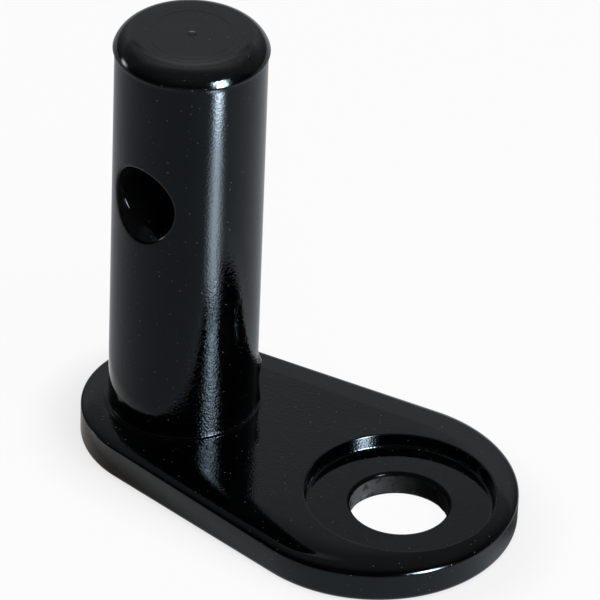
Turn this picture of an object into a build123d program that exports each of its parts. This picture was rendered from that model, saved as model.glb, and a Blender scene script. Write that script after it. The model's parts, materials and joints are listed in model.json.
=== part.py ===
from build123d import *
import os
from math import asin, cos, degrees, radians, sin, tan

# Bike trailer hitch: a steel plate clamped under a rear axle nut, with an upright pin for the
# trailer's arm. Millimetres. The origin is the axle hole's centre on the plate's underside, +X points
# away from the pin and +Z up along the pin.

# Plate, blanked from flat steel
plate_thickness = 4.4
pin_to_axle = 28.3            # centre of the pin to centre of the axle hole
wide_end_radius = 15.5
narrow_end_radius = 11.8
narrow_end_setback = 0.95     # the narrow end's arc centre lies this far from the pin, towards the axle
under_edge_round = 1.1

# Blanking rolls the plate's upper edge over, most at the wide end
wide_roll_width = 4.2
wide_roll_depth = 1.15
narrow_roll_width = 3.2
narrow_roll_depth = 0.6
roll_break = 0.04             # the roll's curve starts this far above the face, leaving a faint edge

# Axle hole, with the recess round it that takes the axle's washer
axle_hole_diameter = 10.5
axle_edge_round = 0.3
breakout_width = 0.3          # the punch tears the hole's lower edge wider by this much all round
breakout_height = 0.45
recess_diameter = 20.2
recess_depth = 1.5
recess_wall = 1.95            # metal left between the recess and the plate's wide end
recess_lip_break = 0.25       # small bevel round the recess's rim
recess_corner_round = 0.3

# Hitch pin, turned from round bar
pin_diameter = 16.0
pin_height = 46.2             # above the plate's upper face
foot_fillet = 0.7
end_round = 2.8
end_bead = 0.2                # the rounded end stands this far outside the shaft
bead_step = 0.25              # height in which the bead falls back to the shaft
pip_diameter = 0.9            # nub that the facing tool leaves at the centre of the end
pip_height = 0.12

# Cross hole through the pin, for the retaining pin of the trailer's arm
cross_hole_diameter = 7.0
cross_hole_height = 28.7      # above the plate's upper face
cross_hole_turn = 4.0         # degrees off square to the plate, clockwise from above
countersink_diameter = 9.0    # on the plane that touches the shaft
countersink_angle = 60.0      # included angle
countersink_rim_round = 0.25

# Spigot of the pin, and the weld that holds it from below
spigot_shoulder = 2.0         # width of the pin's shoulder, round the spigot
spigot_clearance = 0.05       # all round, between spigot and plate
weld_depth = 2.2              # height and width of the groove round the spigot

# Radii and places that follow
shaft_radius = pin_diameter / 2
spigot_radius = shaft_radius - spigot_shoulder
spigot_hole_radius = spigot_radius + spigot_clearance
recess_radius = recess_diameter / 2
recess_floor = plate_thickness - recess_depth
axle_hole_radius = axle_hole_diameter / 2
wide_end_x = recess_radius + recess_wall - wide_end_radius
narrow_end_x = narrow_end_setback - pin_to_axle
taper = asin((wide_end_radius - narrow_end_radius) / (wide_end_x - narrow_end_x))
pin_place = Pos(-pin_to_axle, 0, 0)
pin_top = plate_thickness + pin_height
cutter_overrun = 1.0          # how far a cutter runs past the face that it opens
on_base = (Align.CENTER, Align.CENTER, Align.MIN)


def plate_outline():
    """Two end arcs joined by the straight sides that touch both."""
    wide_touch = (wide_end_x - wide_end_radius * sin(taper), wide_end_radius * cos(taper))
    narrow_touch = (narrow_end_x - narrow_end_radius * sin(taper), narrow_end_radius * cos(taper))
    wide_tip = (wide_end_x + wide_end_radius, 0)
    narrow_tip = (narrow_end_x - narrow_end_radius, 0)
    far_side = Line(narrow_touch, wide_touch)
    wide_arc = ThreePointArc(wide_touch, wide_tip, (wide_touch[0], -wide_touch[1]))
    near_side = Line(wide_arc @ 1, (narrow_touch[0], -narrow_touch[1]))
    narrow_arc = ThreePointArc(near_side @ 1, narrow_tip, narrow_touch)
    return make_face([far_side, wide_arc, near_side, narrow_arc])


def rings(solid, radius, height):
    """The circular edges of a given radius that lie at a given height."""
    def matches(edge):
        return abs(edge.radius - radius) < 1e-4 and abs(edge.arc_center.Z - height) < 1e-4
    return solid.edges().filter_by(GeomType.CIRCLE).filter_by(matches)


def upright(radius, bottom, top):
    """A round cutter about the axle hole's axis."""
    return Pos(0, 0, bottom) * Cylinder(radius, top - bottom, align=on_base)


def roll_waste(width, depth, end_x, end_radius, angle):
    """Section of the metal that the rolled edge lacks, stood on an end's arc at an angle from +X."""
    curve = EllipticalCenterArc((-width, -depth), width, depth + roll_break, arc_size=90)
    rest = Polyline(curve @ 1, (-width, cutter_overrun), (cutter_overrun, cutter_overrun),
                    (cutter_overrun, -depth), curve @ 0)
    outward = Vector(cos(angle), sin(angle), 0)
    stand = Plane(origin=Vector(end_x, 0, plate_thickness) + outward * end_radius,
                  x_dir=outward, z_dir=outward.cross(Vector(0, 0, 1)))
    return stand * make_face([curve, rest])


def edge_roll():
    """Cutters for the rolled upper edge: one round each end and one along each side."""
    def wide_section(angle):
        return roll_waste(wide_roll_width, wide_roll_depth, wide_end_x, wide_end_radius, angle)

    def narrow_section(angle):
        return roll_waste(narrow_roll_width, narrow_roll_depth, narrow_end_x, narrow_end_radius, angle)

    turn = radians(90) + taper
    wide_axis = Axis((wide_end_x, 0, 0), (0, 0, 1))
    narrow_axis = Axis((narrow_end_x, 0, 0), (0, 0, 1))
    wide_arc = revolve(wide_section(-turn), wide_axis, degrees(2 * turn))
    narrow_arc = revolve(narrow_section(turn), narrow_axis, 360 - degrees(2 * turn))
    sides = [loft([narrow_section(side), wide_section(side)], ruled=True) for side in (-turn, turn)]
    return [wide_arc, narrow_arc, *sides]


def washer_recess():
    """Cutter for the recess: rounded corner at its floor, small bevel at its rim."""
    foot = recess_radius - recess_corner_round
    rim = plate_thickness - recess_lip_break
    top = plate_thickness + cutter_overrun
    corner = CenterArc((foot, recess_floor + recess_corner_round), recess_corner_round, -90, 90)
    bevel = (recess_radius + recess_lip_break + cutter_overrun, top)
    rest = Polyline(corner @ 1, (recess_radius, rim), bevel, (0, top), (0, recess_floor), corner @ 0)
    return revolve(Plane.XZ * make_face([corner, rest]), Axis.Z)


def make_base_plate():
    plate = extrude(plate_outline(), plate_thickness)
    plate = fillet(plate.faces().sort_by(Axis.Z)[0].edges(), under_edge_round)
    for cutter in edge_roll():
        plate -= cutter

    # Washer recess, then the punched axle hole in its floor
    plate -= washer_recess()
    plate -= upright(axle_hole_radius, -cutter_overrun, plate_thickness)
    plate = fillet(rings(plate, axle_hole_radius, recess_floor), axle_edge_round)
    plate -= Cone(axle_hole_radius + breakout_width, axle_hole_radius, breakout_height, align=on_base)

    # Hole for the pin's spigot, with the weld groove under it
    plate -= pin_place * upright(spigot_hole_radius, -cutter_overrun, plate_thickness + cutter_overrun)
    groove = Cone(spigot_hole_radius + weld_depth, spigot_hole_radius, weld_depth, align=on_base)
    plate -= pin_place * groove
    return plate


def pin_profile():
    """Half section of the pin: radius along X, height along Y."""
    foot_radius = shaft_radius + foot_fillet
    face_radius = shaft_radius + end_bead - end_round
    round_height = pin_top - end_round

    foot = CenterArc((foot_radius, plate_thickness + foot_fillet), foot_fillet, 270, -90)
    rounding = CenterArc((face_radius, round_height), end_round, 0, 90)
    pip_radius = ((pip_diameter / 2) ** 2 + pip_height ** 2) / (2 * pip_height)
    pip_swing = degrees(asin(pip_diameter / 2 / pip_radius))
    pip = CenterArc((0, pin_top + pip_height - pip_radius), pip_radius, 90 - pip_swing, pip_swing)
    spigot = Polyline(pip @ 1, (0, 0), (spigot_radius, 0),
                      (spigot_radius, plate_thickness), foot @ 0)
    shaft = Polyline(foot @ 1, (shaft_radius, round_height - bead_step), rounding @ 0)
    end_face = Line(rounding @ 1, pip @ 0)
    return make_face([spigot, foot, shaft, rounding, end_face, pip])


def cross_hole_cutter():
    """Bore and both countersinks, turned about the hole's own axis, which lies along Y."""
    bore_radius = cross_hole_diameter / 2
    flare = tan(radians(countersink_angle / 2))
    land = shaft_radius - (countersink_diameter / 2 - bore_radius) / flare
    reach = shaft_radius + cutter_overrun
    mouth_radius = bore_radius + (reach - land) * flare
    section = Polyline((0, -reach), (mouth_radius, -reach), (bore_radius, -land), (bore_radius, land),
                       (mouth_radius, reach), (0, reach), close=True)
    return revolve(make_face(section), Axis.Y)


def make_hitch_pin():
    pin = revolve(Plane.XZ * pin_profile(), Axis.Z)
    place = Pos(0, 0, plate_thickness + cross_hole_height) * Rot(0, 0, -cross_hole_turn)
    pin -= place * cross_hole_cutter()
    rims = pin.edges().filter_by(GeomType.BSPLINE)
    return pin_place * fillet(rims, countersink_rim_round)


def make_weld_seam():
    """Weld metal that fills the groove round the spigot, ground flush with the plate's underside."""
    section = Polyline((spigot_radius, 0), (spigot_hole_radius + weld_depth, 0),
                       (spigot_hole_radius, weld_depth), (spigot_radius, weld_depth), close=True)
    return pin_place * revolve(Plane.XZ * make_face(section), Axis.Z)


nodes = {
    "base_plate": make_base_plate(),
    "hitch_pin": make_hitch_pin(),
    "weld_seam": make_weld_seam(),
}

os.makedirs("parts", exist_ok=True)
for name, solid in nodes.items():
    export_step(solid, f"parts/{name}.step")
    print(name, "volume", round(solid.volume, 1))
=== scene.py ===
import json
import math

import bmesh
import bpy
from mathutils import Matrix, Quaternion, Vector, noise


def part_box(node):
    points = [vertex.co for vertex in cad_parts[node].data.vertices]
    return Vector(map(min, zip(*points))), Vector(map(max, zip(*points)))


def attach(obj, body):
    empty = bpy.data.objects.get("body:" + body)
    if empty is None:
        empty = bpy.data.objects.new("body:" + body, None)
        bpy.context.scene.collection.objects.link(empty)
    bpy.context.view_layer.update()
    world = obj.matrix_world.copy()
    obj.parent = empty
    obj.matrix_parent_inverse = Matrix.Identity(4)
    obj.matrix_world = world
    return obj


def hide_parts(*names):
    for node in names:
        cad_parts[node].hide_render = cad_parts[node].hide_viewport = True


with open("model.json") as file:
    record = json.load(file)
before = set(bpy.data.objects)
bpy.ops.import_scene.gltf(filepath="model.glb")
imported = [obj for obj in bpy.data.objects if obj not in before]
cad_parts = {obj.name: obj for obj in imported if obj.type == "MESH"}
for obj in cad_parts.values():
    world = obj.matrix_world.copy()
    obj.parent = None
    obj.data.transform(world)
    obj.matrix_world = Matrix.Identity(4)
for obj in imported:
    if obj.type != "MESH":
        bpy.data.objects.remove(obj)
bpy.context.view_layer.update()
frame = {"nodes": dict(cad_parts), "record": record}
mm = 0.001
mounts = {mount["name"]: mount for mount in frame["record"]["mounts"]}
plateLow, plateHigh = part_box("base_plate")
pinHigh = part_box("hitch_pin")[1]
pinX = mounts["coupling_pin"]["pos_m"][0]
plateTop = plateHigh.z
print("frame loaded:", sorted(frame["nodes"]))


# Small helpers for work in edit mode

def beginPiece():
    if bpy.context.object and bpy.context.object.mode != "OBJECT":
        bpy.ops.object.mode_set(mode="OBJECT")
    bpy.ops.object.select_all(action="DESELECT")


def pick(kind, test):
    # select the vertices, edges or faces of the open mesh that pass a test
    mesh = bpy.context.edit_object.data
    bpy.ops.mesh.select_mode(type=kind)
    bpy.ops.mesh.select_all(action="DESELECT")
    shape = bmesh.from_edit_mesh(mesh)
    parts = {"VERT": shape.verts, "EDGE": shape.edges, "FACE": shape.faces}[kind]
    for part in parts:
        if test(part):
            part.select_set(True)
    shape.select_flush_mode()
    bmesh.update_edit_mesh(mesh)


def moveRing(place):
    # set each selected vertex where place() says
    mesh = bpy.context.edit_object.data
    shape = bmesh.from_edit_mesh(mesh)
    for vert in shape.verts:
        if vert.select:
            vert.co = place(vert.co)
    bmesh.update_edit_mesh(mesh)


def extrudeRings(steps, place):
    # one extrusion of the selected ring for each step
    for step in steps:
        bpy.ops.mesh.extrude_region_move()
        moveRing(lambda co: place(co, step))


def addRing(centre, radius, height, sides):
    # a circle in edit mode, with all of it selected
    bpy.ops.mesh.select_all(action="DESELECT")
    bpy.ops.mesh.primitive_circle_add(vertices=sides, radius=radius, location=(*centre, height))


def turned(centre):
    # places a ring of a turned form: a step is a radius and a height
    def place(co, step):
        arm = Vector((co.x - centre[0], co.y - centre[1]))
        arm = arm.normalized() * step[0]
        return Vector((centre[0] + arm.x, centre[1] + arm.y, step[1]))
    return place


def arc(centreRadius, centreHeight, radius, start, end, count):
    # points along an arc of a half section, angles in degrees from level
    points = []
    for index in range(count + 1):
        angle = math.radians(start + (end - start) * index / count)
        out, up = radius * math.cos(angle), radius * math.sin(angle)
        points.append((centreRadius + out, centreHeight + up))
    return points


def bend(start, middle, end, share):
    # a point on the soft corner between three points
    return start * (1 - share) ** 2 + middle * 2 * share * (1 - share) + end * share ** 2


def isOpen(line):
    # an edge with a face on one side only
    return len(line.link_faces) == 1


def finishPiece(piece, node, smoothAngle=35):
    # clean up, smooth the shading and let the piece stand for its CAD node
    bpy.ops.mesh.select_all(action="SELECT")
    bpy.ops.mesh.remove_doubles(threshold=0.002 * mm)
    bpy.ops.mesh.normals_make_consistent(inside=False)
    bpy.ops.object.mode_set(mode="OBJECT")
    bpy.ops.object.transform_apply(location=True, rotation=True, scale=True)
    bpy.ops.object.shade_smooth_by_angle(angle=math.radians(smoothAngle))
    weighted = piece.modifiers.new("flatFaces", "WEIGHTED_NORMAL")
    weighted.mode = "FACE_AREA"
    weighted.keep_sharp = True
    bpy.ops.object.modifier_apply(modifier="flatFaces")
    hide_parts(node)
    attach(piece, "root")
    print(node, "modelled as", piece.name, "with", len(piece.data.polygons), "faces")


# Base plate

plate = {
    "narrowRadius": 12.0 * mm,
    "narrowTrim": 0.2 * mm,      # the painted narrow end is blunter than its box
    "underRound": 0.75 * mm,
    "wideRoll": (4.2 * mm, 1.15 * mm),     # width and depth of the rolled upper edge at the wide end
    "narrowRoll": (3.1 * mm, 0.6 * mm),    # and at the narrow end
    "recessDepth": 1.5 * mm,
    "recessDraft": 8.0,          # degrees that the recess's painted wall leans out
    "lipRound": 0.15 * mm,
    "lipGap": 0.08 * mm,         # least width of face between the roll and the recess
    "cornerRound": 0.3 * mm,
    "axleRound": 0.3 * mm,
    "tearHeight": 0.45 * mm,     # where the punch broke through at the foot of the axle hole
    "tearWidth": 0.3 * mm,
    "tearRagged": 0.22 * mm,
    "tearTop": 0.99 * mm,        # the bore is straight above this
    "spigotHole": 6.05 * mm,
    "weldGroove": 2.2 * mm,
    "support": 0.1 * mm,         # flat strip kept beside each rounding
    "outlineSides": 360,
    "sideCuts": 24,
    "underSteps": 12,
    "rollSteps": 18,
    "roundSteps": 6,
    "holeSides": 240,
}


def makePlate():
    wideRadius, narrowRadius = plateHigh.y, plate["narrowRadius"]
    wideX = plateHigh.x - wideRadius
    narrowX = plateLow.x + plate["narrowTrim"] + narrowRadius
    taper = math.asin((wideRadius - narrowRadius) / (wideX - narrowX))
    sideLength = (wideX - narrowX) * math.cos(taper)
    recess = mounts["washer_recess"]["dims"]["r_mm"] * mm
    axle = mounts["axle_hole"]["dims"]["r_mm"] * mm
    support = plate["support"]
    lipReach = recess + plate["lipRound"] + support

    def onOutline(co):
        # nearest point of the outline, the way out from it, and its share of the way to the wide end
        side = 1 if co.y >= 0 else -1
        along = (co.x - narrowX) * math.cos(taper) + abs(co.y) * math.sin(taper)
        share = min(max(along / sideLength, 0), 1)
        if 0 < share < 1:
            outward = Vector((-math.sin(taper), side * math.cos(taper), 0))
            run = Vector((math.cos(taper), side * math.sin(taper), 0)) * along
            return Vector((narrowX, 0, 0)) + outward * narrowRadius + run, outward, share
        centre, radius = (wideX, wideRadius) if share else (narrowX, narrowRadius)
        outward = Vector((co.x - centre, co.y, 0)).normalized()
        return Vector((centre, 0, 0)) + outward * radius, outward, share

    def rollAt(share):
        return [a + (b - a) * share for a, b in zip(plate["narrowRoll"], plate["wideRoll"])]

    def faceHeight(co):
        # height of the upper face, rolled edge included
        foot, outward, share = onOutline(co)
        width, depth = rollAt(share)
        left = max(1 - (foot - co).xy.dot(outward.xy) / width, 0)
        return plateTop - depth + depth * math.sqrt(1 - left ** 2)

    def edgePlace(co, step):
        # a step is a place on the lower edge, or a share of the roll
        foot, outward, share = onOutline(co)
        if step[0] == "edge":
            return foot - outward * step[1] + Vector((0, 0, step[2]))
        width, depth = rollAt(share)
        reach, rest = foot.dot(outward), foot.length_squared - (lipReach + plate["lipGap"]) ** 2
        stop = width
        if reach > 0 and reach ** 2 > rest:
            stop = min(width, reach - math.sqrt(reach ** 2 - rest))   # the recess cuts the roll short
        angle = math.acos(1 - stop / width) * step[1]
        height = plateTop - depth + depth * math.sin(angle)
        return foot - outward * width * (1 - math.cos(angle)) + Vector((0, 0, height))

    # outline: a circle pulled out to the two ends, its long sides cut up
    bpy.ops.mesh.primitive_circle_add(
        vertices=plate["outlineSides"], radius=wideRadius, location=(wideX, 0, 0))
    piece = bpy.context.object
    piece.name = "platePainted"
    bpy.ops.object.transform_apply(location=True)
    bpy.ops.object.mode_set(mode="EDIT")
    bpy.ops.mesh.select_all(action="SELECT")
    wideReach = math.pi / 2 + taper + 1e-4
    shrink = narrowRadius / wideRadius
    moveRing(lambda co: co if abs(math.atan2(co.y, co.x - wideX)) <= wideReach
             else Vector((narrowX + (co.x - wideX) * shrink, co.y * shrink, 0)))
    pick("EDGE", lambda line: line.calc_length() > 5 * mm)
    bpy.ops.mesh.subdivide(number_cuts=plate["sideCuts"])

    # then raised through the edge's section
    bpy.ops.mesh.select_all(action="SELECT")
    under = plate["underRound"]
    moveRing(lambda co: edgePlace(co, ("edge", under + support, 0)))
    underArc = arc(-under, under, under, -90, 0, plate["underSteps"])
    steps = [("edge", -point[0], point[1]) for point in underArc]
    steps += [("roll", share / plate["rollSteps"]) for share in range(plate["rollSteps"] + 1)]
    extrudeRings(steps, edgePlace)

    # washer recess and axle hole, from the plate's face down through it
    floorHeight = plateTop - plate["recessDepth"]
    lip, corner, edge = plate["lipRound"], plate["cornerRound"], plate["axleRound"]
    lean = math.tan(math.radians(plate["recessDraft"]))
    wallFoot = recess - lean * (plate["recessDepth"] - lip - corner)
    tearRadius = axle + plate["tearWidth"]
    lipRings = [(lipReach, plateTop)]
    lipRings += arc(recess + lip, plateTop - lip, lip, 90, 180, plate["roundSteps"])
    rings = arc(wallFoot - corner, floorHeight + corner, corner, 0, -90, plate["roundSteps"])
    rings += [(wallFoot - corner - support, floorHeight), (axle + edge + support, floorHeight)]
    rings += arc(axle + edge, floorHeight - edge, edge, 90, 180, plate["roundSteps"])
    rings += [(axle, plate["tearTop"]), (axle, plate["tearHeight"])]
    rings += [(tearRadius, 0), (tearRadius + support, 0)]
    around = turned((0, 0))

    def lipPlace(co, step):
        # the lip follows the rolled face down
        sunk = plateTop - faceHeight(around(co, (lipReach, 0)))
        return around(co, (step[0], step[1] - sunk))

    addRing((0, 0), lipReach, plateTop, plate["holeSides"])
    moveRing(lambda co: lipPlace(co, lipRings[0]))
    extrudeRings(lipRings[1:], lipPlace)
    extrudeRings(rings, around)

    # hole for the pin's spigot, opening into the weld's groove on the underside
    spigot, groove = plate["spigotHole"], plate["weldGroove"]
    addRing((pinX, 0), spigot, plateTop, plate["holeSides"] // 2)
    extrudeRings([(spigot, groove), (spigot + groove, 0)], turned((pinX, 0)))

    # close the upper face and the underside between their open edges
    for low, high in ((0.8 * plateTop, 1.1 * plateTop), (-0.1 * mm, 1e-7)):
        pick("EDGE", lambda line: isOpen(line) and low < line.verts[0].co.z < high)
        bpy.ops.mesh.fill()

    # ragged edge where the punch tore out
    def ragged(co):
        angle = math.atan2(co.y, co.x)
        swing = Vector((math.cos(angle), math.sin(angle), 0))
        rough = noise.noise(swing * 4.0) + 0.6 * noise.noise(swing * 13.0)
        return co + Vector((0, 0, plate["tearRagged"] * rough))

    pick("VERT", lambda vert: abs(vert.co.z - plate["tearHeight"]) < 1e-6
         and vert.co.xy.length < axle + 0.01 * mm)
    moveRing(ragged)
    finishPiece(piece, "base_plate")
    return piece


# Hitch pin

pin = {
    "sides": 240,
    "rowHeight": 0.5 * mm,
    "skirt": 8.48 * mm,          # paint that has run down and set round the pin's foot
    "skirtHeight": 0.09 * mm,
    "skirtSteps": 6,
    "footRound": 0.06 * mm,
    "footSteps": 4,
    "endFace": 5.72 * mm,        # flat of the end
    "endRound": 2.6 * mm,
    "endSlope": 72.0,            # degrees, where the rounded end stops at the bead's lower edge
    "endSteps": 28,
    "faceRings": (0.97, 0.7, 0.45, 0.25),     # shares of the end's flat
    "beadStep": 0.16 * mm,       # height in which the bead falls back to the shaft
    "pipWidth": 0.8 * mm,
    "pipHeight": 0.12 * mm,
    "pipPainted": 0.035 * mm,    # what the paint leaves to see of the pip
    # how far out from the pip's edge and up, as shares of its radius and height
    "pipRings": ((0.6, 0), (0.16, 0), (0.08, 0.3), (0, 0.8), (-0.1, 1), (-0.5, 1), (-0.9, 1)),
    "spigot": 6.0 * mm,
    "countersink": 9.0 * mm,     # across, on the plane that touches the shaft
    "sinkAngle": 60.0,
    "rimRound": 0.32 * mm,       # paint-softened rim of the cross hole
    "rimSteps": 6,
    "sinkRound": 0.12 * mm,
    "sinkSteps": 3,
    "patchColumns": 28,          # the hole's patch of the shaft's grid, each way from its middle
    "patchRows": 12,
    "patchShares": (0.25, 0.34, 0.5, 1),      # rings round the hole, each of the way still to go
    "boreShares": (0.6, 0.3, 0),
    "runAzimuth": 122.0,         # a run of paint at the foot, degrees from -Y towards +X
    "runWidth": 3.5,             # degrees
    "runHeight": 5.4 * mm,
    "runReach": 8 * mm,          # nothing above this is moved
    "runDepth": 0.4 * mm,
    "runEnd": 1.08,              # share of its height at which it has faded out
    "runFade": 0.12,
    "runWaist": 0.25,            # half of what it loses midway between its ends
    "runRagged": 0.12,
}


def pinSection(shaft):
    # half section from the spigot's underside to the middle of the end, as radius and height
    faceHeight = pinHigh.z - pin["pipHeight"]
    skirt, half, foot = pin["skirt"], pin["skirtHeight"] / 2, pin["footRound"]

    # the rounded end, from the bead up to its face
    end = arc(pin["endFace"], faceHeight - pin["endRound"], pin["endRound"], 90 - pin["endSlope"], 90,
              pin["endSteps"])
    beadRadius, beadHeight = end[0]
    stepHeight = beadHeight - pin["beadStep"]

    rings = [(pin["spigot"], plateTop), (skirt - 2 * half, plateTop)]
    rings += arc(skirt - half, plateTop + half, half, -90, 90, pin["skirtSteps"])
    rings += arc(shaft + foot, plateTop + 2 * half + foot, foot, 270, 180, pin["footSteps"])
    rows = math.ceil((stepHeight - rings[-1][1]) / pin["rowHeight"])
    step = (stepHeight - rings[-1][1]) / rows
    rings += [(shaft, rings[-1][1] + step * row) for row in range(1, rows)]

    # the bead's step has soft corners
    rings += [(shaft, stepHeight - 0.05 * mm), (shaft + 0.02 * mm, stepHeight)]
    rings += [(beadRadius - 0.03 * mm, beadHeight - 0.05 * mm), (beadRadius, beadHeight - 0.01 * mm)]
    rings += end

    # the end's face, and the pip in its middle
    rings += [(pin["endFace"] * share, faceHeight) for share in pin["faceRings"]]
    pipRadius, pipHeight = pin["pipWidth"] / 2, pin["pipPainted"]
    rings += [(pipRadius * (1 + out), faceHeight + pipHeight * up) for out, up in pin["pipRings"]]
    return rings


def crossHole(shaft):
    # opens the cross hole in the shaft's grid, with a countersink at each end
    mount = mounts["cross_hole"]
    bore = mount["dims"]["r_mm"] * mm
    height = mount["pos_m"][2]
    flare = math.tan(math.radians(pin["sinkAngle"] / 2))
    land = shaft - (pin["countersink"] / 2 - bore) / flare
    upSink = Vector((flare, 1)).normalized()      # up the countersink's wall, as spread and depth
    columnAngle = 2 * math.pi / pin["sides"]
    halfAngle = (pin["patchColumns"] + 0.1) * columnAngle
    halfHeight = (pin["patchRows"] + 0.5) * pin["rowHeight"]

    def shaftDepth(spread, angle):
        # distance of the shaft's surface along the hole, from the hole's middle
        return math.sqrt(shaft ** 2 - (spread * math.cos(angle)) ** 2)

    def rimSpread(angle):
        # radius at which the countersink meets the shaft, found by halving
        near, far = bore, bore * 1.6
        for halving in range(30):
            middle = (near + far) / 2
            if land + (middle - bore) / flare < shaftDepth(middle, angle):
                near = middle
            else:
                far = middle
        return near

    # each step is a zone and a share of the way through it
    steps = [("shaft", share) for share in pin["patchShares"]]
    steps += [("rim", share / pin["rimSteps"]) for share in range(1, pin["rimSteps"] + 1)]
    steps += [("sink", share / pin["sinkSteps"]) for share in range(pin["sinkSteps"] + 1)]
    steps += [("bore", share) for share in pin["boreShares"]]

    for facing in (1, -1):
        axis = Vector(mount["axis"]) * facing
        across = Vector((-axis.y, axis.x, 0))

        def local(co):
            # along the hole, across it and up, from the hole's middle
            arm = Vector((co.x - pinX, co.y, 0))
            return arm.dot(axis), arm.dot(across), co.z - height

        def inPatch(face):
            along, side, up = local(face.calc_center_median())
            isShaft = abs(math.hypot(along, side) - shaft) < 0.05 * mm
            return isShaft and abs(math.atan2(side, along)) < halfAngle and abs(up) < halfHeight

        def isRim(line):
            # open edges of this end of the hole
            spot = line.verts[0].co
            return isOpen(line) and spot.z > plateTop + 1 * mm and local(spot)[0] > 1 * mm

        def holePlace(co, step):
            along, side, up = local(co)
            angle = math.atan2(up, side)
            rim = rimSpread(angle)
            outer = rim + pin["rimRound"]
            zone, share = step
            if zone == "shaft":
                spread = math.hypot(side, up) + (outer - math.hypot(side, up)) * share
                depth = shaftDepth(spread, angle)
            elif zone == "rim":
                start = Vector((outer, shaftDepth(outer, angle)))
                middle = Vector((rim, shaftDepth(rim, angle)))
                spread, depth = bend(start, middle, middle - upSink * pin["rimRound"], share)
            elif zone == "sink":
                start = Vector((bore, land)) + upSink * pin["sinkRound"]
                end = Vector((bore, land - pin["sinkRound"]))
                spread, depth = bend(start, Vector((bore, land)), end, share)
            else:
                spread, depth = bore, land * share
            out = axis * depth + across * (spread * math.cos(angle))
            return Vector((pinX + out.x, out.y, height + spread * math.sin(angle)))

        pick("FACE", inPatch)
        bpy.ops.mesh.delete(type="FACE")
        pick("EDGE", isRim)
        extrudeRings(steps, holePlace)


def paintRun(shaft):
    # a run of paint that set down one side of the foot, thickest at its ends
    azimuth = math.radians(pin["runAzimuth"])
    middle = Vector((math.sin(azimuth), -math.cos(azimuth)))

    def swell(co):
        arm = Vector((co.x - pinX, co.y))
        swing = math.degrees(arm.angle(middle))
        share = (co.z - plateTop) / pin["runHeight"]
        fade = min(max((pin["runEnd"] - share) / pin["runFade"], 0), 1)
        thick = 1 - pin["runWaist"] + pin["runWaist"] * math.cos(2 * math.pi * share)
        thick += pin["runRagged"] * noise.noise(Vector((0, 0, share * 9)))
        depth = pin["runDepth"] * fade * thick * math.exp(-0.5 * (swing / pin["runWidth"]) ** 2)
        arm = arm.normalized() * (arm.length + depth)
        return Vector((pinX + arm.x, arm.y, co.z))

    pick("VERT", lambda vert: pin["skirtHeight"] < vert.co.z - plateTop < pin["runReach"]
         and abs(math.hypot(vert.co.x - pinX, vert.co.y) - shaft) < 0.02 * mm)
    moveRing(swell)


def makePin():
    shaft = mounts["coupling_pin"]["dims"]["r_mm"] * mm
    axis = Vector(mounts["cross_hole"]["axis"])
    turn = math.atan2(axis.y, axis.x)  # a column of the grid runs through the hole's middle
    bpy.ops.mesh.primitive_circle_add(
        vertices=pin["sides"], radius=pin["spigot"], location=(pinX, 0, 0), rotation=(0, 0, turn),
        fill_type="NGON")
    piece = bpy.context.object
    piece.name = "pinPainted"
    bpy.ops.object.transform_apply(location=True, rotation=True)
    bpy.ops.object.mode_set(mode="EDIT")
    pick("EDGE", isOpen)
    extrudeRings(pinSection(shaft), turned((pinX, 0)))
    bpy.ops.mesh.edge_face_add()
    crossHole(shaft)
    paintRun(shaft)
    finishPiece(piece, "hitch_pin")
    return piece


beginPiece()
platePiece = makePlate()
beginPiece()
pinPiece = makePin()


# Paint

class Wire:
    # one output of a shader node, on which sums can be written
    def __init__(self, tree, socket=None):
        self.tree = tree
        self.socket = socket

    def node(self, kind, settings=None, links=None, out=0):
        made = self.tree.nodes.new(kind)
        for name, value in (settings or {}).items():
            if name == "stops":
                band = made.color_ramp
                while len(band.elements) < len(value):
                    band.elements.new(1.0)
                for element, (position, colour) in zip(band.elements, value):
                    element.position = position
                    element.color = colour
            else:
                setattr(made, name, value)
        for name, value in (links or {}).items():
            if isinstance(value, Wire):
                self.tree.links.new(value.socket, made.inputs[name])
            else:
                made.inputs[name].default_value = value
        return Wire(self.tree, made.outputs[out] if made.outputs else None)

    def maths(self, operation, first, second=0.0):
        return self.node("ShaderNodeMath", {"operation": operation}, {0: first, 1: second})

    def __add__(self, other):
        return self.maths("ADD", self, other)

    __radd__ = __add__

    def __mul__(self, other):
        return self.maths("MULTIPLY", self, other)

    __rmul__ = __mul__

    def __sub__(self, other):
        return self.maths("SUBTRACT", self, other)

    def __rsub__(self, other):
        return self.maths("SUBTRACT", other, self)

    def __truediv__(self, other):
        return self.maths("DIVIDE", self, other)

    def between(self, low, high, smooth=True):
        # 0 below low, 1 above high
        return self.node(
            "ShaderNodeMapRange", {"interpolation_type": "SMOOTHSTEP" if smooth else "LINEAR"},
            {"Value": self, "From Min": low, "From Max": high})


def component(vector, name):
    # X, Y or Z of a vector
    return vector.node("ShaderNodeSeparateXYZ", None, {"Vector": vector}, out=name)


def vectorMaths(graph, operation, first, second=(0, 0, 0)):
    # vector maths, of which some kinds give a number
    out = "Value" if operation in ("LENGTH", "DISTANCE", "DOT_PRODUCT") else "Vector"
    return graph.node("ShaderNodeVectorMath", {"operation": operation}, {0: first, 1: second}, out=out)


def scaled(graph, vector, share):
    return graph.node("ShaderNodeVectorMath", {"operation": "SCALE"}, {0: vector, "Scale": share})


def mixTints(graph, share, first, second):
    return graph.node(
        "ShaderNodeMix", {"data_type": "RGBA"}, {"Factor": share, 6: first, 7: second}, out=2)


def ramp(graph, stops, value):
    return graph.node("ShaderNodeValToRGB", {"stops": stops}, {"Fac": value})


def grain(graph, place, perMetre, detail, roughness=0.5):
    return graph.node("ShaderNodeTexNoise", None, {
        "Vector": place, "Scale": perMetre, "Detail": detail, "Roughness": roughness})


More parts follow.
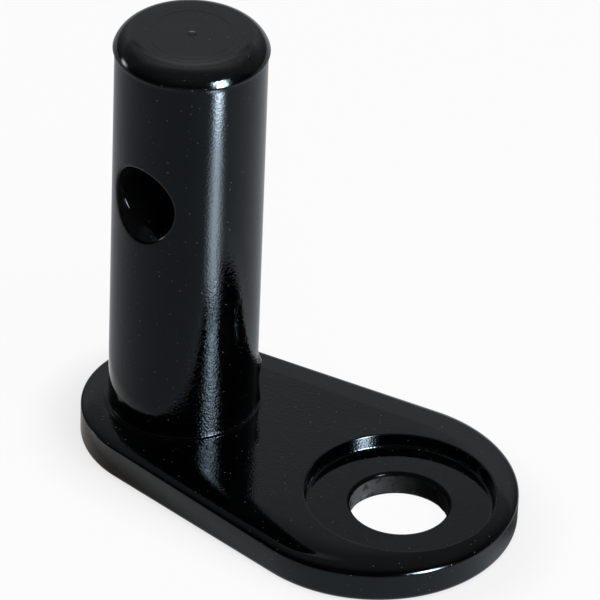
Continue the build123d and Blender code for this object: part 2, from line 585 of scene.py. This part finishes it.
def waver(graph, value, perMetre, detail):
    # a height that depends on one distance only
    return graph.node("ShaderNodeTexNoise", {"noise_dimensions": "1D"}, {
        "W": value, "Scale": perMetre, "Detail": detail})


def cells(graph, place, perMetre, out="Distance"):
    return graph.node("ShaderNodeTexVoronoi", None, {"Vector": place, "Scale": perMetre}, out=out)


def bumped(graph, height):
    return graph.node("ShaderNodeBump", None, {"Strength": 1.0, "Distance": 1.0, "Height": height})


def fromAxis(graph, place, centre):
    # distance from an upright axis
    arm = vectorMaths(graph, "SUBTRACT", place, (*centre, 0))
    return vectorMaths(graph, "LENGTH", vectorMaths(graph, "MULTIPLY", arm, (1, 1, 0)))


def newMaterial(name):
    material = bpy.data.materials.new(name)
    material.use_nodes = True
    tree = material.node_tree
    tree.nodes.clear()
    return material, Wire(tree)


paint = {
    "darkTint": (0.0004, 0.0005, 0.0006, 1),
    "lightTint": (0.0011, 0.0012, 0.0014, 1),
    "dustTint": (0.13, 0.135, 0.14, 1),
    "thinPaintAndPaintedLightTint": (0.16, 0.162, 0.17, 1),       # thin, dull paint, and painted light: a painted lit side in the axle hole and a painted highlight on the pip
    "paintedSheenTint": (0.0068, 0.0075, 0.008, 1),   # painted sheen in a band round the pin's rounded end
    "dryTint": (0.004, 0.0042, 0.0045, 1),    # dry overspray inside holes
    "sheenTint": (0.80, 0.92, 1.0, 1),        # the gloss is slightly blue
    "ior": 1.33,
    "gloss": 0.05,               # roughness of the clean paint
    "hazy": 0.09,                # and where it has hazed
    "dustRough": 0.2,            # what dust adds to it
    "thinPaintAndPaintedLightRough": 0.35,           # and what the thin paint and the painted light add
    "finePeel": 4200.0,          # orange peel, waves per metre
    "broadPeel": 520.0,
    "pimples": 3700.0,           # where the paint went on coarse, per metre
    "nibs": 1450.0,              # dust, per metre
    "clouds": 140.0,             # uneven tint and haze, per metre
    "fineDepth": 0.002 * mm,
    "broadDepth": 0.005 * mm,
    "pimpleDepth": 0.008 * mm,
    "nibDepth": 0.010 * mm,
    "pimpleSpan": (0.05, 0.75),  # from a pimple's middle to its foot, as a share of its cell
    "nibSpan": (0.055, 0.11),
    "lightSpan": (0.35, 0.7),    # part of the clouds' range that lightens the tint
    "hazySpan": (0.4, 0.75),     # and that roughens the gloss
}


def glossBlack(name, marksOf):
    # gloss black paint: orange peel, dust nibs, dry overspray, the marks of the piece under it, and
    # painted sheen and highlights
    material, graph = newMaterial(name)
    place = graph.node("ShaderNodeTexCoord", out="Object")
    marks = marksOf(graph, place)
    fine = grain(graph, place, paint["finePeel"], 1.0)
    broad = grain(graph, place, paint["broadPeel"], 1.0, 0.4)
    cloud = grain(graph, place, paint["clouds"], 3.0)
    luck = component(cells(graph, place, paint["nibs"], "Color"), "X")    # no two nibs are alike
    nib = (1 - cells(graph, place, paint["nibs"]).between(*paint["nibSpan"])) * luck
    pimple = 1 - cells(graph, place, paint["pimples"]).between(*paint["pimpleSpan"])
    pimple = pimple * marks["coarse"] * paint["pimpleDepth"]
    peel = fine * paint["fineDepth"] + broad * paint["broadDepth"] + pimple
    bump = bumped(graph, peel + nib * paint["nibDepth"] + marks["height"])

    tint = mixTints(graph, cloud.between(*paint["lightSpan"]), paint["darkTint"], paint["lightTint"])
    # painted sheen on the pin's end, dust, and thin paint with painted light
    for share, layer in ((marks["haze"], "paintedSheenTint"), (nib, "dustTint"), (marks["bare"], "thinPaintAndPaintedLightTint")):
        tint = mixTints(graph, share, tint, paint[layer])
    worn = cloud.between(*paint["hazySpan"]) * (paint["hazy"] - paint["gloss"])
    rough = worn + nib * paint["dustRough"] + marks["bare"] * paint["thinPaintAndPaintedLightRough"] + paint["gloss"]
    wet = graph.node("ShaderNodeBsdfPrincipled", None, {
        "Base Color": tint, "Roughness": rough, "IOR": paint["ior"],
        "Specular Tint": paint["sheenTint"], "Normal": bump})
    dry = graph.node("ShaderNodeBsdfDiffuse", None, {"Color": paint["dryTint"], "Normal": bump})
    shader = graph.node("ShaderNodeMixShader", None, {0: marks["dry"], 1: wet, 2: dry})
    graph.node("ShaderNodeOutputMaterial", None, {"Surface": shader})
    return material


# in the dictionaries of marks, a span gives where a mark begins and where it is full
pinPaint = {
    "ringsPerMetre": 1500.0,     # facing cuts on the end
    "ringDepth": 0.016 * mm,
    "grooveIn": (4.2 * mm, 4.35 * mm),      # the deepest of them, from the pin's axis
    "grooveOut": (4.5 * mm, 4.65 * mm),
    "grooveDepth": 0.006 * mm,
    "endSpan": (0.12 * mm, 0.05 * mm),      # the end's flat, below its face
    "paintedSheenSpan": (1.8 * mm, 0.5 * mm),      # painted sheen round it, below its face
    "pipSpan": (0.36 * mm, 0.44 * mm),
    "pipHighlightWay": (-0.555, 0.832, 0),       # edge of the pip away from the camera, which gets a painted highlight
    "pipHighlightSpan": (0.14 * mm, 0.22 * mm),
    "coarse": 0.45,              # coarse paint on the axle's side of the pin
    "coarseSpan": (1 * mm, 5 * mm),
    "coarseLow": 0.55,           # coarser low down
    "lowSpan": (8 * mm, 36 * mm),
    "coarseFoot": 0.7,           # and more so at the foot
    "footSpan": (6 * mm, 15 * mm),
    "coarseHole": 0.2,
    "holeSpan": (4.4 * mm, 4.7 * mm),       # the cross hole, from its own axis
    "depthSpan": (7.75 * mm, 7.95 * mm),    # and from the pin's
    "drySpan": (-2.5 * mm, 0),   # overspray on the hole's side away from the axle
    "dry": 0.97,
    "dryEdge": 0.8,              # less of it on the edge between bore and countersink
    "edgeDepth": 6.27 * mm,
    "edgeSpan": (0.05 * mm, 0.15 * mm),
}


def pinMarks(graph, place):
    reach = fromAxis(graph, place, (pinX, 0))
    up = component(place, "Z")
    side = component(place, "X") - pinX

    # the end: facing cuts on its flat, painted sheen round it
    faceHeight = pinHigh.z - pin["pipHeight"]
    onEnd = up.between(*[faceHeight - below for below in pinPaint["endSpan"]])
    paintedSheenBand = up.between(*[faceHeight - below for below in pinPaint["paintedSheenSpan"]]) * (1 - onEnd)
    wave = waver(graph, reach, pinPaint["ringsPerMetre"], 2.0)
    groove = reach.between(*pinPaint["grooveIn"]) - reach.between(*pinPaint["grooveOut"])

    # the shaft, coarser low down on one side
    low = 1 - up.between(*pinPaint["lowSpan"])
    foot = 1 - up.between(*pinPaint["footSpan"])
    coarse = side.between(*pinPaint["coarseSpan"]) * (
        low * pinPaint["coarseLow"] + foot * pinPaint["coarseFoot"] + pinPaint["coarse"])

    # the cross hole, dry on one side
    hole = mounts["cross_hole"]
    arm = vectorMaths(graph, "SUBTRACT", place, hole["pos_m"])
    spread = vectorMaths(graph, "LENGTH", vectorMaths(graph, "CROSS_PRODUCT", arm, hole["axis"]))
    inHole = (1 - spread.between(*pinPaint["holeSpan"])) * (1 - reach.between(*pinPaint["depthSpan"]))
    along = graph.maths("ABSOLUTE", vectorMaths(graph, "DOT_PRODUCT", arm, hole["axis"]))
    offEdge = graph.maths("ABSOLUTE", along - pinPaint["edgeDepth"]).between(*pinPaint["edgeSpan"])
    dryness = offEdge * (pinPaint["dry"] - pinPaint["dryEdge"]) + pinPaint["dryEdge"]

    # a painted highlight on the pip's back edge
    onPip = onEnd * (1 - reach.between(*pinPaint["pipSpan"]))
    paintedLightSide = vectorMaths(graph, "DOT_PRODUCT", arm, pinPaint["pipHighlightWay"])
    paintedLightSide = paintedLightSide.between(*pinPaint["pipHighlightSpan"])
    return {
        "height": onEnd * (wave * pinPaint["ringDepth"] + groove * pinPaint["grooveDepth"]),
        "coarse": coarse + inHole * pinPaint["coarseHole"],
        "bare": onPip * paintedLightSide,
        "haze": paintedSheenBand,
        "dry": inHole * (1 - side.between(*pinPaint["drySpan"])) * dryness,
    }


platePaint = {
    "ringsPerMetre": 900.0,      # cutter rings on the recess's floor
    "ringDepth": 0.0015 * mm,
    "ridgesPerMetre": 3500.0,    # and ridges up its wall
    "ridgeDepth": 0.006 * mm,
    "recessSpan": (0.25 * mm, 0.1 * mm),    # below the plate's face
    "floorSpan": (9.2 * mm, 9.5 * mm),      # the floor's rim, from the axle hole's axis
    "wallFoot": (9.7 * mm, 9.8 * mm),       # and the wall, from its foot
    "wallTop": (10.3 * mm, 10.4 * mm),
    "tornPerMetre": 1100.0,      # rough wall of the axle hole
    "tornDepth": 0.12 * mm,
    "tornSpan": (0.22, 0.5),     # its high spots are where the paint is thin
    "boreSpan": (5.3 * mm, 5.4 * mm),       # from the hole's axis
    "boreTop": (2.4 * mm, 2.7 * mm),
    "paintedLitWay": (-0.83, -0.56, 0),           # painted light: the hole's pale tint is strongest on this side, where the lamps fall
    "paintedLitSpan": (-3.5 * mm, 5 * mm),
    "paintedLitRest": 0.02,            # and how much of the pale tint the other side keeps
    "edgeSpan": (5.5 * mm, 5.6 * mm),       # the hole's rounded edge is dry
    "edgeLow": (2.4 * mm, 2.6 * mm),
    "edgeDry": 0.9,
    "coarse": 0.5,               # coarse paint round the pin
    "coarseLoss": 0.4,           # less of it far from the pin
    "farSpan": (14 * mm, 24 * mm),
    "coarseWall": 0.7,           # and more on the recess's wall
}


def plateMarks(graph, place):
    reach = fromAxis(graph, place, (0, 0))
    up = component(place, "Z")

    # the recess, with cutter marks
    inRecess = 1 - up.between(*[plateTop - below for below in platePaint["recessSpan"]])
    onFloor = inRecess * (1 - reach.between(*platePaint["floorSpan"]))
    onWall = inRecess * reach.between(*platePaint["wallFoot"])
    onWall = onWall * (1 - reach.between(*platePaint["wallTop"]))
    rings = waver(graph, reach, platePaint["ringsPerMetre"], 2.0) * platePaint["ringDepth"]
    ridges = waver(graph, up, platePaint["ridgesPerMetre"], 1.0) * platePaint["ridgeDepth"]

    # the axle hole, rough and thinly painted, with painted light on one side
    inBore = (1 - reach.between(*platePaint["boreSpan"])) * (1 - up.between(*platePaint["boreTop"]))
    onEdge = (1 - reach.between(*platePaint["edgeSpan"])) * up.between(*platePaint["edgeLow"])
    torn = grain(graph, place, platePaint["tornPerMetre"], 4.0)
    # thin paint on the torn high spots, its pale tint kept to the lit side as painted light
    paintedLightSide = vectorMaths(graph, "DOT_PRODUCT", place, platePaint["paintedLitWay"])
    paintedLightSide = paintedLightSide.between(*platePaint["paintedLitSpan"], smooth=False)
    bare = torn.between(*platePaint["tornSpan"]) * (paintedLightSide * paintedLightSide + platePaint["paintedLitRest"])

    far = fromAxis(graph, place, (pinX, 0)).between(*platePaint["farSpan"])
    coarse = platePaint["coarse"] - far * platePaint["coarseLoss"]
    return {
        "height": onFloor * rings + onWall * ridges + inBore * torn * platePaint["tornDepth"],
        "coarse": coarse + onWall * platePaint["coarseWall"],
        "bare": inBore * bare,
        "haze": 0.0,
        "dry": onEdge * platePaint["edgeDry"],
    }


weldPaint = {
    "scratches": (400.0, 6000.0, 400.0),      # per metre each way, so that they run along X
    "scratchDepth": 0.006 * mm,
    "scratchRough": 0.2,
    "gloss": 0.15,
    "pitsPerMetre": 900.0,
    "pitSpan": (0.3, 0.45),
    "pitDepth": 0.02 * mm,
}


def weldBlack():
    # paint over a weld that was ground flush: scratches run one way under a thinner gloss
    material, graph = newMaterial("weldBlack")
    place = graph.node("ShaderNodeTexCoord", out="Object")
    stretched = graph.node("ShaderNodeMapping", None, {
        "Vector": place, "Scale": weldPaint["scratches"]})
    scratch = grain(graph, stretched, 1.0, 3.0)
    pits = grain(graph, place, weldPaint["pitsPerMetre"], 2.0)
    pitted = pits.between(*weldPaint["pitSpan"]) * weldPaint["pitDepth"]
    shader = graph.node("ShaderNodeBsdfPrincipled", None, {
        "Base Color": mixTints(graph, pits, paint["darkTint"], paint["lightTint"]),
        "Roughness": scratch * weldPaint["scratchRough"] + weldPaint["gloss"],
        "IOR": paint["ior"],
        "Normal": bumped(graph, scratch * weldPaint["scratchDepth"] + pitted)})
    graph.node("ShaderNodeOutputMaterial", None, {"Surface": shader})
    return material


def coat(piece, material):
    piece.data.materials.clear()
    piece.data.materials.append(material)


coat(platePiece, glossBlack("plateBlack", plateMarks))
coat(pinPiece, glossBlack("pinBlack", pinMarks))
coat(frame["nodes"]["weld_seam"], weldBlack())
print("paint done")


# Studio

def tone(value, red=1.0, blue=1.0):
    return (value * red, value, value * blue, 1)


def towards(azimuth, elevation):
    # degrees from -Y towards +X, and up
    turn, rise = math.radians(azimuth), math.radians(elevation)
    return Vector((math.sin(turn) * math.cos(rise), -math.cos(turn) * math.cos(rise), math.sin(rise)))


camera = {
    "azimuth": 33.73,
    "elevation": 35.23,
    "roll": 2.29,
    "distance": 0.651,
    "target": (-14.32 * mm, 1.06 * mm, 22.34 * mm),
    "lens": 372.5,
    "sensor": 36.0,
    "clip": (0.01, 20.0),
}

floor = {
    "width": 3.0,
    "drop": 0.02 * mm,           # below the part, so that the two don't touch
    "tint": (0.80, 0.80, 0.795, 1),
    "ior": 1.55,
    "roughness": 0.55,
    "grainRough": 0.04,
    "grainPerMetre": 900.0,
    "glow": tone(1),
    "white": 0.92,               # how far the floor is brought up to white where it is seen
    "whiteNear": 0.8,            # as a share of that, close to the part
    "contactReach": 7.0 * mm,    # the floor's own shade is kept this far round the part
    "halfWidth": 11.5 * mm,      # of the part at the pin, as the floor's shading takes it
    "widening": 1.5 * mm,        # and what it gains by the axle hole
    "holeSpan": (5.2 * mm, 6.2 * mm),
    # painted shade under the axle hole, as the paint mirrors it
    "holeShadeTone": tone(0.02),
    "stopReach": 60 * mm,        # what the stops' full range is, out from the part
    # painted shade and painted light in the glow that the paint mirrors: dim by the part, a bright ring
    # just off it, grey further out
    "pinStops": [
        (0.0, (0.38, 0.34, 0.31, 1)), (0.03, (0.40, 0.36, 0.33, 1)), (0.06, (1.0, 0.96, 0.92, 1)),
        (0.08, (0.8, 0.78, 0.76, 1)), (0.11, tone(0.48, 0.95, 1.05)), (1.0, tone(0.47, 0.95, 1.05))],
    "axleStops": [(stop, tone(value, 0.95, 1.05)) for stop, value in (
        (0.0, 0.68), (0.1, 0.68), (0.2, 0.48), (1.0, 0.47))],
    "rightWay": (0.83, 0.56, 0),            # painted light: the mirrored floor is lighter on this side
    "rightSpan": (-30 * mm, 30 * mm),
    "paintedLightGain": 0.45,
    "behindSpan": (0, 8 * mm),   # and the part shades it behind
    "shadeSpan": (0.02, 0.07),   # as far as this, in the stops' range
    "shade": 0.9,
}


def makeFloor():
    beginPiece()
    bpy.ops.mesh.primitive_plane_add(size=floor["width"], location=(0, 0, -floor["drop"]))
    sheet = bpy.context.object
    sheet.name = "studioFloor"
    material, graph = newMaterial("paleFloor")
    place = graph.node("ShaderNodeTexCoord", out="Object")
    rough = grain(graph, place, floor["grainPerMetre"], 2.0) * floor["grainRough"] + floor["roughness"]
    lit = graph.node("ShaderNodeBsdfPrincipled", None, {
        "Base Color": floor["tint"], "Roughness": rough, "IOR": floor["ior"]})

    # distance from the plate's outline, as that of a bar that widens from one end to the other
    share = component(place, "X").between(pinX, 0, smooth=False)     # 0 at the pin, 1 at the axle hole
    middle = graph.node("ShaderNodeCombineXYZ", None, {"X": pinX + share * -pinX})
    halfWidth = floor["halfWidth"] + share * floor["widening"]
    gap = vectorMaths(graph, "DISTANCE", place, middle) - halfWidth
    inHole = 1 - vectorMaths(graph, "LENGTH", place).between(*floor["holeSpan"])

    # as the paint mirrors it, the floor has painted shade in the part's shade, a painted white ring
    # near it, and grey further off
    away = gap / floor["stopReach"]
    nearPin, nearAxle = [ramp(graph, floor[stops], away) for stops in ("pinStops", "axleStops")]
    right = vectorMaths(graph, "DOT_PRODUCT", place, floor["rightWay"]).between(*floor["rightSpan"])
    behind = component(place, "Y").between(*floor["behindSpan"])
    shade = 1 - behind * (1 - away.between(*floor["shadeSpan"])) * floor["shade"]
    nearby = mixTints(graph, share, nearPin, nearAxle)
    nearby = scaled(graph, nearby, (right * floor["paintedLightGain"] + 1) * shade)
    # painted shade where the floor is seen through the axle hole
    mirrored = mixTints(graph, inHole, nearby, floor["holeShadeTone"])

    isSeen = graph.node("ShaderNodeLightPath", out="Is Camera Ray")
    isMirrored = graph.maths("MAXIMUM", graph.node("ShaderNodeLightPath", out="Is Glossy Ray"),
                             graph.node("ShaderNodeLightPath", out="Is Transmission Ray"))
    glow = graph.node("ShaderNodeEmission", None, {
        "Color": mixTints(graph, isMirrored, floor["glow"], mirrored), "Strength": 1.0})
    cleared = graph.maths("MAXIMUM", gap.between(0, floor["contactReach"]), inHole)
    white = (cleared * (1 - floor["whiteNear"]) + floor["whiteNear"]) * floor["white"]
    shader = graph.node("ShaderNodeMixShader", None, {0: isSeen * white + isMirrored, 1: lit, 2: glow})
    graph.node("ShaderNodeOutputMaterial", None, {"Surface": shader})
    coat(sheet, material)


# a pale room behind the part and overhead, and a dim one on the camera's side
room = {
    "stops": [(stop, tone(value, 0.98, 1.03)) for stop, value in (
        (0.0, 0.5), (0.005, 0.5), (0.011, 0.35), (0.015, 0.03), (0.28, 0.03), (0.42, 0.06), (0.5, 0.16),
        (0.56, 0.27), (0.621, 0.30), (0.794, 0.30), (0.847, 0.40), (0.894, 0.44), (0.899, 0.47),
        (0.903, 0.57), (0.907, 0.66), (0.919, 0.68), (0.949, 0.54), (0.98, 0.38), (1.0, 0.24))],
    "sideSpan": (0.3, 0.8),      # its left and right are dimmer
    "sideDim": 0.65,
}


def makeWorld():
    world = bpy.data.worlds.new("studioRoom")
    bpy.context.scene.world = world
    world.use_nodes = True
    world.node_tree.nodes.clear()
    graph = Wire(world.node_tree)
    way = graph.node("ShaderNodeTexCoord", out="Generated")
    back = vectorMaths(graph, "DOT_PRODUCT", way, -towards(camera["azimuth"], 0))
    up = component(way, "Z")
    reach = graph.maths("SQRT", back * back + up * up + 0.0001)
    swing = back / reach * 0.5 + 0.5          # 0 level towards the camera, 0.5 overhead, 1 level behind
    side = vectorMaths(graph, "DOT_PRODUCT", way, towards(camera["azimuth"] + 90, 0))
    dimmed = 1 - graph.maths("ABSOLUTE", side).between(*room["sideSpan"]) * room["sideDim"]
    glow = graph.node("ShaderNodeBackground", None, {
        "Color": scaled(graph, ramp(graph, room["stops"], swing), dimmed), "Strength": 1.0})
    graph.node("ShaderNodeOutputWorld", None, {"Surface": glow})


lampTints = {
    "cool": (0.80, 0.90, 1.0),
    "warm": (1.0, 0.99, 0.97),
}


def makeLamp(name, place, turn, size, radiance, tint, seenBy, profile=None):
    # an area lamp that only diffuse or only glossy rays see
    lamp = bpy.data.lights.new(name, "AREA")
    lamp.shape = "RECTANGLE"
    lamp.size, lamp.size_y = size
    lamp.energy = radiance * math.pi * size[0] * size[1]
    lamp.color = lampTints[tint]
    if profile:
        lamp.use_nodes = True
        lamp.node_tree.nodes.clear()
        graph = Wire(lamp.node_tree)
        spot = graph.node("ShaderNodeNewGeometry", out="Parametric")
        share = profile(graph, component(spot, "X"), component(spot, "Y"))
        glow = graph.node("ShaderNodeEmission", None, {"Color": share, "Strength": 1.0})
        graph.node("ShaderNodeOutputLight", None, {"Surface": glow})
    holder = bpy.data.objects.new(name, lamp)
    bpy.context.scene.collection.objects.link(holder)
    holder.location = place
    holder.rotation_mode = "QUATERNION"
    holder.rotation_quaternion = turn
    holder.visible_diffuse = seenBy == "diffuse"
    holder.visible_glossy = seenBy == "glossy"
    holder.visible_camera = False


def bell(graph, offset, spread):
    # 1 in the middle, falling off evenly on both sides
    ratio = offset / spread
    return graph.maths("EXPONENT", ratio * ratio * -0.5)


def softTube(graph, across, along):
    return bell(graph, across - 0.5, 0.1) * along.between(0, 0.25) * (1 - along.between(0.75, 1))


def softSpot(graph, across, along):
    return bell(graph, across - 0.5, 0.2) * bell(graph, along - 0.5, 0.2)


# soft boxes face the part, and their angles are how much of the view they fill, in degrees
softBoxes = {
    "mainSoftbox": {
        "azimuth": 60, "elevation": 62, "distance": 1.2, "angles": (50, 50), "radiance": 3.3,
        "tint": "warm", "seenBy": "diffuse", "profile": None},
    "rightSoft": {
        "azimuth": 77.5, "elevation": 26, "distance": 0.39, "angles": (40, 36), "radiance": 255.0,
        "tint": "cool", "seenBy": "glossy", "profile": softTube},
    "leftGlint": {
        "azimuth": -72, "elevation": 10, "distance": 0.5, "angles": (18, 16), "radiance": 14.0,
        "tint": "warm", "seenBy": "glossy", "profile": softSpot},
}


def makeSoftBox(name):
    box = softBoxes[name]
    away = towards(box["azimuth"], box["elevation"])
    size = [2 * box["distance"] * math.tan(math.radians(angle / 2)) for angle in box["angles"]]
    makeLamp(name, Vector((pinX / 2, 0, 0)) + away * box["distance"], (-away).to_track_quat("-Z", "Y"),
             size, box["radiance"], box["tint"], box["seenBy"], box["profile"])


# a soft strip of light that lies to the right of the part, brighter with distance, mirrored in the pin
strip = {
    "middle": (53.6 * mm, -14.7 * mm),      # from the pin's axis
    "lift": 0.3 * mm,            # above the plate's face
    "azimuth": 79.5,
    "size": (40 * mm, 49.6 * mm),
    "radiance": 55.0,
    "stops": [(stop, tone(value)) for stop, value in (
        (0.0, 0.16), (0.1, 0.17), (0.27, 0.23), (0.51, 0.245), (0.71, 0.32), (0.79, 0.55), (0.86, 0.95),
        (1.0, 1.0))],
    "spread": 0.08,
    "spreadGain": 0.05,          # what its spread gains with distance
}


def makeStrip():
    def profile(graph, across, along):
        spread = along.between(0, 0.5) * strip["spreadGain"] + strip["spread"]
        share = bell(graph, across - 0.5, spread) * along.between(0, 0.08)
        return scaled(graph, ramp(graph, strip["stops"], along), share)

    x, y = strip["middle"]
    turn = Quaternion((0, 0, 1), math.radians(strip["azimuth"])) @ Quaternion((1, 0, 0), math.pi)
    makeLamp("floorStrip", Vector((pinX + x, y, plateTop + strip["lift"])), turn, strip["size"],
             strip["radiance"], "cool", "glossy", profile)


# a small soft card over the pin, which lightens the back of its rounded end
card = {
    "height": 9 * mm,            # over the pin's end
    "back": 1.5 * mm,            # how far behind the pin's axis, seen from the camera
    "size": (28 * mm, 16 * mm),
    "radiance": 0.95,
    "spread": 0.22,
}


def makeCard():
    def profile(graph, across, along):
        ends = along.between(0, 0.3) * (1 - along.between(0.7, 1))
        return bell(graph, across - 0.5, card["spread"]) * ends

    back = towards(camera["azimuth"], 0) * card["back"]
    turn = Quaternion((0, 0, 1), math.radians(camera["azimuth"]))
    makeLamp("topCard", Vector((pinX, 0, pinHigh.z + card["height"])) - back, turn, card["size"],
             card["radiance"], "warm", "glossy", profile)


def makeCamera():
    lens = bpy.data.cameras.new("photoCamera")
    lens.lens = camera["lens"]
    lens.sensor_width = camera["sensor"]
    lens.clip_start, lens.clip_end = camera["clip"]
    holder = bpy.data.objects.new("photoCamera", lens)
    bpy.context.scene.collection.objects.link(holder)
    away = towards(camera["azimuth"], camera["elevation"])
    holder.location = Vector(camera["target"]) + away * camera["distance"]
    holder.rotation_mode = "QUATERNION"
    level = (-away).to_track_quat("-Z", "Y")
    holder.rotation_quaternion = level @ Quaternion((0, 0, 1), math.radians(camera["roll"]))
    bpy.context.scene.camera = holder


makeFloor()
makeWorld()
for boxName in softBoxes:
    makeSoftBox(boxName)
makeStrip()
makeCard()
makeCamera()
bpy.context.scene.view_settings.view_transform = "Standard"
print("studio done")
